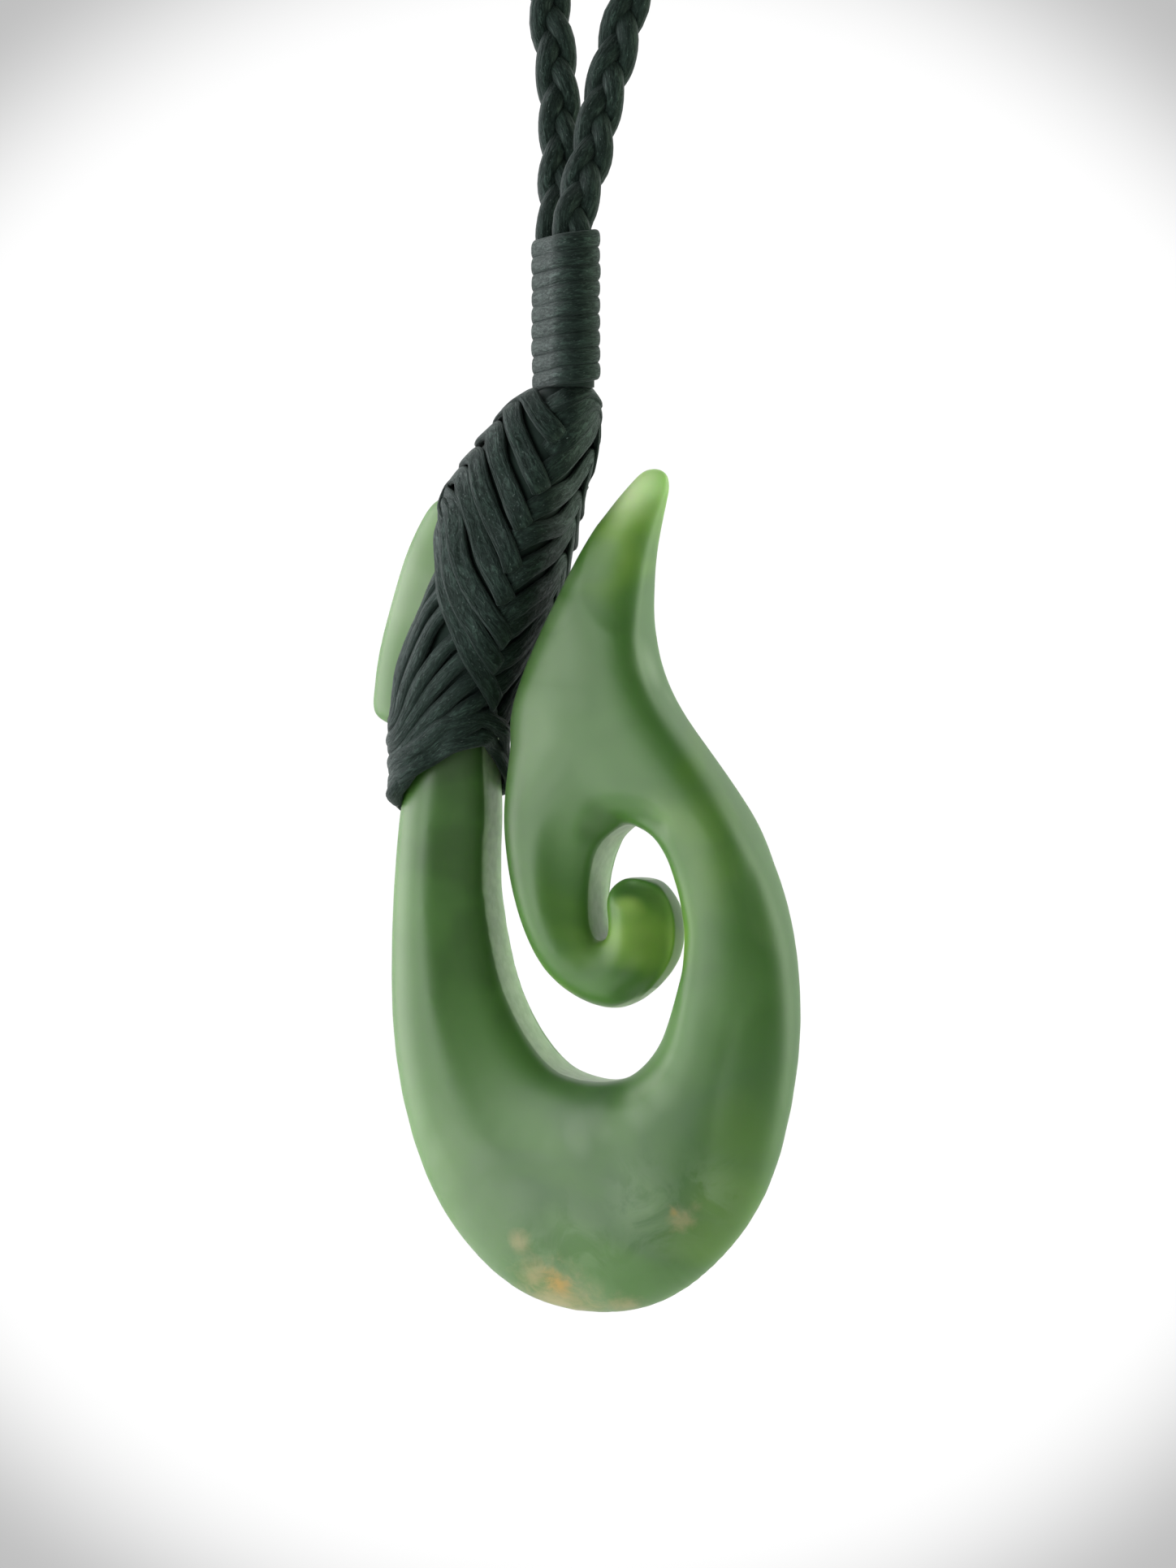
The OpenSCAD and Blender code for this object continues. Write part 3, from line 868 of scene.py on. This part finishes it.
def loop_height(turn):
    for (a, low), (b, high) in zip(LOOP, LOOP[1:]):
        if turn <= b:
            return low + (high - low) * (turn - a) / (b - a)
    return LOOP[-1][1]


def shank_surface(turn, z):
    """The place on the shank, or on the cord over it, at an angle round it."""
    side = side_at(turn)
    start = STONE_BOTTOM + Vector((SHANK_X, 0, z * MM))
    right = stone_tree.ray_cast(start, Vector((1, 0, 0)))[0]
    left = stone_tree.ray_cast(start, Vector((-1, 0, 0)))[0]
    place = stone_tree.ray_cast((left + right) / 2, side)[0] + side * CORD_OFF_STONE
    for _ in range(4):
        farther = guide_tree.ray_cast(place + side * 0.02 * MM, side, CORD_REACH)[0]
        if farther is None:
            break
        place = farther
    return place


def turn_round_shank(rise, first, last):
    """One turn, so much above the lowest one, from one angle to another."""
    line = []
    for k in range(first, last + 1, 4):
        turn = k % 360
        seen = math.cos(math.radians(turn) + VIEW_TURN)
        out = 0.3 * max(0.0, seen) ** 4 - 0.2 * max(0.0, -seen) ** 2
        line.append(shank_surface(turn, loop_height(turn) + rise) + side_at(turn) * out * MM)
    for _ in range(5):
        line = [line[0]] + [(a + b * 2 + c) / 4 for a, b, c in zip(line, line[1:], line[2:])] + [line[-1]]
    return smooth_line(line, STEP)


def outward(line):
    """The way out from the middle of the shank at each point of a turn."""
    middle = sum(line, Vector()) / len(line)
    ups = []
    for p, way in zip(line, directions(line)):
        out = Vector((p.x - middle.x, (p.y - middle.y) * 1.2, 0))
        ups.append((out - way * out.dot(way)).normalized())
    return ups


print("the lowest turn is", round((turn_round_shank(0, 0, 356)[0] - STONE_BOTTOM).z / MM, 1), "mm up")

# %% [markdown]
# The strands are laid in one mesh. Each layer of them has its own heights, width and roundness. Every
# strand starts elsewhere on the cord's pattern, so no two look alike.

# %% Lay the strands
OVER_HEIGHTS = [(0, -0.22), (0.5, 0.12), (3.5, -0.02), (-3.5, -0.02), (-0.5, 0.12), (-0.01, -0.22)]
UNDER_HEIGHTS = [(0, -0.5), (0.9, -0.25), (1.9, -0.06), (3.0, -0.04),
                 (-3.0, -0.04), (-1.9, -0.06), (-0.9, -0.25), (-0.01, -0.5)]
FAN_HEIGHTS = [(0, -0.5), (1.0, -0.2), (2.5, -0.05), (6.5, -0.22),
               (-6.5, -0.22), (-1.2, -0.22), (-0.01, -0.6)]
FAN_WIDE = 1.0 * MM
UNDER_WIDE = 1.3 * MM
ROUND_THICK = STRAND_THICK * 1.7
ROUNDER = 2.0
ROLL = 0.16
NEXT_STRAND = 11.3
LOOP_RISES = (0.0, 1.02)
LOOP_START = 262

lashing = bmesh.new()
for index, points in enumerate(OVER):
    line = eased(mirrored_back(on_guide(points), -1, 0.5))
    path, ups = lift(line, OVER_HEIGHTS, ROLL)
    add_strand(lashing, path, ups, STRAND_WIDE, STRAND_THICK, shift=NEXT_STRAND * index)
for index, points in enumerate(UNDER):
    line = eased(mirrored_back(on_guide(points), 1, 0.2, 1.7))
    path, ups = lift(line, UNDER_HEIGHTS, -ROLL)
    add_strand(lashing, path, ups, UNDER_WIDE, STRAND_THICK, power=2.8, shift=200 + NEXT_STRAND * index)
for index, points in enumerate(FAN):
    line = eased(mirrored_back(on_guide(points), -1, 0.8))
    path, ups = lift(line, FAN_HEIGHTS, ROLL)
    add_strand(lashing, path, ups, FAN_WIDE, ROUND_THICK, power=ROUNDER, shift=400 + NEXT_STRAND * index)
for index, rise in enumerate(LOOP_RISES):
    line = turn_round_shank(rise, LOOP_START, LOOP_START + 372)
    add_strand(lashing, line, outward(line), FAN_WIDE * 1.1, ROUND_THICK, power=ROUNDER,
               shift=600 + NEXT_STRAND * index)
print("lashing strands laid:", len(OVER) + len(UNDER) + len(FAN) + len(LOOP_RISES))

# %% [markdown]
# Between the strands the turns below them lie in shade. The guide surface itself stands for them, sunk
# below the strands. Its points have no height in a section, so the cord's finish paints it in the
# cord's shade colour, as painted shade.

# %% Core of the lashing
# the core is painted all in the cord's shade colour: painted shade between the strands
CORE_SINK = 0.32 * MM
guide.normal_update()
for v, normal in [(v, v.normal.copy()) for v in guide.verts]:
    v.co -= normal * CORE_SINK
core_mesh = bpy.data.meshes.new("lashing_core")
guide.to_mesh(core_mesh)
guide.free()
lashing.from_mesh(core_mesh)
finish_piece("lashing", lashing, binding_material, ["binding"])

# %% [markdown]
# The whipping
#
# One cord is wound nine times round the two plaits, pressed flat, each turn tight on the last. The
# path is a coil whose turns are two half circles joined by straight runs, because it goes round two
# plaits that lie side by side. Each end of the cord is tucked in under its turns.

# %% Round the two plaits
PLAIT = 2.25
PLAIT_GAP = 0.05
PAIR_WALL = 0.04
PAIR_GAP = PLAIT + 2 * PLAIT_GAP + PAIR_WALL
PAIR_TURN = math.radians(-44)
TURNS = 9
TURN_RISE = 1.03
BINDING_TOP = 1.094 * 48
WHIP_BOTTOM = BINDING_TOP + 0.05
WHIP_TOP = WHIP_BOTTOM + TURNS * TURN_RISE
WHIP_THICK = 0.6
WHIP_REACH = PLAIT / 2 + PLAIT_GAP + 0.32


def pendant_place(x, y, z):
    """A place given in millimetres from the stone's bottom, in the frame."""
    return STONE_BOTTOM + Vector((x, y, z)) * MM


def round_the_pair(turn, reach, z):
    """A point on the way round both plaits, and the way out from them there."""
    side = Vector((math.cos(turn), math.sin(turn), 0))
    flat = Vector((math.copysign(PAIR_GAP / 2, side.x), 0, 0)) + side * reach
    turned = Matrix.Rotation(PAIR_TURN, 3, "Z")
    place = turned @ flat
    return pendant_place(place.x, place.y, z), turned @ side


print("the whipping stands from", round(WHIP_BOTTOM, 2), "to", round(WHIP_TOP, 2), "mm up")

# %% Wind the whipping
STATIONS = 44
FIRST_TURN = math.radians(110)
LAST_STATION = round((TURNS + 0.15) * STATIONS) - 1
FIRST_RISE = 0.2
WHOLE_RISE = TURNS - 0.65
TUCKED_OVER = 9
TUCKED_DEEP = 0.5

whip = bmesh.new()
path = []
ups = []
for k in range(LAST_STATION + 1):
    turn = FIRST_TURN + 2 * math.pi * k / STATIONS
    z = WHIP_BOTTOM + (FIRST_RISE + WHOLE_RISE * k / LAST_STATION) * TURN_RISE
    wobble = 0.07 * noise.noise(Vector((k * 0.09, 3, 0)))
    tuck = TUCKED_DEEP * max(0.0, 1 - min(k, LAST_STATION - k) / TUCKED_OVER) ** 2
    place, out = round_the_pair(turn, WHIP_REACH - WHIP_THICK / 2 + wobble - tuck, z + wobble)
    path.append(place)
    ups.append(out)
add_strand(whip, path, ups, TURN_RISE * 1.03 * MM, WHIP_THICK * MM, power=2.5, uneven=0.1)
print("the coil has", LAST_STATION + 1, "stations")

# %% [markdown]
# Between two turns nothing of the plaits shows, because the first layer of cord lies under them. A
# plain core of the same outline stands for it. It is one face, drawn up. Its points have no height in a
# section, so it is painted in the cord's shade colour, as painted shade.

# %% Fill the coil
# the core takes the cord's shade colour: painted shade between the turns
CORE_SIDES = 24
CORE_REACH = WHIP_REACH - 0.35
CORE_LOW = WHIP_BOTTOM + 0.1
CORE_HIGH = WHIP_TOP - 0.6
core = []
for k in range(CORE_SIDES):
    place, _ = round_the_pair(2 * math.pi * (k + 0.5) / CORE_SIDES, CORE_REACH, CORE_LOW)
    core.append(whip.verts.new(place))
core_face = whip.faces.new(core)
risen = bmesh.ops.extrude_face_region(whip, geom=[core_face], use_keep_orig=True)
bmesh.ops.translate(whip, verts=[v for v in risen["geom"] if isinstance(v, bmesh.types.BMVert)],
                    vec=(0, 0, (CORE_HIGH - CORE_LOW) * MM))
finish_piece("whipping_cord", whip, binding_material, ["whipping"])

# %% [markdown]
# The plaits
#
# The neck cord is one plait of three strands, which goes up from the whipping, round the neck and down
# again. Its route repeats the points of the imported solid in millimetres, and each half of it is a piece.

# %% Route of the neck cord
ROUTE = [
    (0, 0, -4, 1), (0, 0, 0, 1), (0.05, 0.15, 1, 0.95), (0.6, 1.4, 4, 0.6),
    (1.3, 2.4, 8, 0.25), (2.4, 3.5, 13, 0), (5.2, 6.5, 28, 0), (10.5, 12, 56, 0), (18, 19, 95, 0),
    (27, 27.5, 140, 0), (37, 36.5, 185, 0), (46, 46, 222, 0), (52.5, 59, 249, 0), (55, 74, 266, 0),
    (52.5, 90, 277, 0), (45, 105, 283.5, 0), (33, 117, 287.5, 0), (18, 125.5, 289.5, 0), (0, 128, 290, 0),
]
JOIN_GAP = 0.04


def neck_route(side):
    """Points of one plait's middle line, from inside the whipping to the back of the neck."""
    start = Vector((math.cos(PAIR_TURN), math.sin(PAIR_TURN))) * PAIR_GAP / 2
    return [pendant_place(side * (start.x * pair + x + JOIN_GAP / 2 * (1 - pair)),
                          y + side * start.y * pair, WHIP_TOP + z)
            for x, y, z, pair in ROUTE]


def carried_frames(line):
    """The ways ahead, across and out at each point, without needless twist."""
    across = Vector((math.cos(VIEW_TURN), math.sin(VIEW_TURN), 0))
    frames = []
    for way in directions(line):
        across = (across - way * across.dot(way)).normalized()
        frames.append((way, across, way.cross(across)))
    return frames


half = neck_route(1)
half_long = sum((b - a).length for a, b in zip(half, half[1:]))
print("half the neck cord is about", round(half_long, 3), "m long")

# %% [markdown]
# Each strand swings from side to side and, twice as often, to and fro, a third of a round behind the
# next, so they pass over and under one another as in a real plait.

# %% Plait the neck cord
PLAIT_ROUND = 9.4
PLAIT_ACROSS = 0.64
PLAIT_DEPTH = 0.32
PLAIT_STRAND = 1.25 * MM
PLAIT_THICK = 0.95 * MM
PLAIT_STEP = 0.42 * MM
STRANDS = 3


def plait(side):
    """Three strands plaited along one side of the neck cord."""
    line = smooth_line(neck_route(side), PLAIT_STEP)
    frames = carried_frames(line)
    ups = [deep for _, _, deep in frames]
    bm = bmesh.new()
    for strand in range(STRANDS):
        run = 0.0
        path = []
        for i, (p, (way, across, deep)) in enumerate(zip(line, frames)):
            if i:
                run += (p - line[i - 1]).length
            t = 2 * math.pi * (run / MM / PLAIT_ROUND + strand / STRANDS)
            swing = across * PLAIT_ACROSS * math.sin(t) + deep * PLAIT_DEPTH * math.sin(2 * t)
            path.append(p + swing * MM)
        add_strand(bm, path, ups, PLAIT_STRAND, PLAIT_THICK, power=2.2, sides=10, shift=60 * strand)
    return bm


for side, name in ((-1, "left"), (1, "right")):
    finish_piece("neck_plait_" + name, plait(side), neck_material, ["plait_" + name])

# %% [markdown]
# Light, floor and background
#
# The stone hangs before white paper, lit softly from both sides. A satin stone shows what stands round
# it: the bright sides give its edges their pale rims, and the darker place round the camera gives the
# deep green bands between.


# %% Soft lights
def soft_light(name, place, size, power, colour=(1, 1, 1)):
    data = bpy.data.lights.new(name, "AREA")
    data.shape = "RECTANGLE"
    data.size, data.size_y = size
    data.energy = power
    data.color = colour
    light = bpy.data.objects.new(name, data)
    light.location = VIEW_TARGET + Vector(place)
    light.rotation_euler = (-Vector(place)).to_track_quat("-Z", "Y").to_euler()
    scene.collection.objects.link(light)
    print(name, "gives", power, "W")


soft_light("left light", (-0.8, -0.12, 0.15), (0.8, 1.1), 8.8, (1.0, 0.88, 1.0))
soft_light("right light", (0.75, 0.45, 0.1), (0.5, 1.0), 4.5, (0.85, 1.0, 0.75))
soft_light("front light", (-0.45, -0.8, 0.1), (0.5, 0.7), 4.2)

# %% [markdown]
# The floor is a pale disc well below the pendant, which hangs free. It is only part of the stage.

# %% Floor
FLOOR_DROP = 0.25
FLOOR_RADIUS = 0.9
bm = bmesh.new()
bmesh.ops.create_circle(bm, cap_ends=True, segments=96, radius=FLOOR_RADIUS)
bmesh.ops.translate(bm, verts=bm.verts, vec=STONE_BOTTOM - Vector((0, 0, FLOOR_DROP)))
mesh = bpy.data.meshes.new("floor")
bm.to_mesh(mesh)
bm.free()
floor = new_object("floor", mesh)
floor_material = new_material("floor", {"Base Color": (0.9, 0.9, 0.89, 1), "Roughness": 0.8})[0]
mesh.materials.append(floor_material)
floor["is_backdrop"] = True
print("floor", FLOOR_DROP, "m below the stone")

# %% [markdown]
# The sky is the white paper. It is brightest straight behind the pendant and dark behind the camera.
# Just outside the picture a greyer ring lies round it, so the picture's own edge stays pure white while
# the stone's rims aren't washed out. The ring is given by the cosines of its angles from the view.

# %% Sky of white paper
PAPER = (-0.35, 0.35, 0.15, 1.02)
RING_OUTER, RING_DARKEST, RING_INNER = 0.9781, 0.98643, 0.99190
RING_LIGHT = 0.52
world = bpy.data.worlds.new("white paper")
scene.world = world
world.use_nodes = True
tree = world.node_tree
toward = add_node(tree, "ShaderNodeTexCoord").outputs["Generated"]
behind = add_node(tree, "ShaderNodeVectorMath", operation="DOT_PRODUCT",
                  inputs={0: toward, 1: tuple(-to_camera)}).outputs["Value"]
paper = spread(tree, behind, *PAPER)
falling = spread(tree, behind, RING_DARKEST, RING_INNER, RING_LIGHT, 1.0)
rising = spread(tree, behind, RING_OUTER, RING_DARKEST, 1.0, RING_LIGHT)
background = tree.nodes["Background"]
background.inputs["Color"].default_value = (1, 1, 1, 1)
strength = times(tree, paper, worked_out(tree, "MAXIMUM", falling, rising))
tree.links.new(strength, background.inputs["Strength"])
print("sky strength from", PAPER[2], "to", PAPER[3])

# %% [markdown]
# Sizes
#
# The dressed pendant stays in the box of the imported model. Both boxes are printed.

# %% Write the sizes
shown_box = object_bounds()
for title, box in (("packed", cad_box), ("dressed", shown_box)):
    print(title, "size in mm:", [round((b - a) / MM, 1) for a, b in zip(*box)])
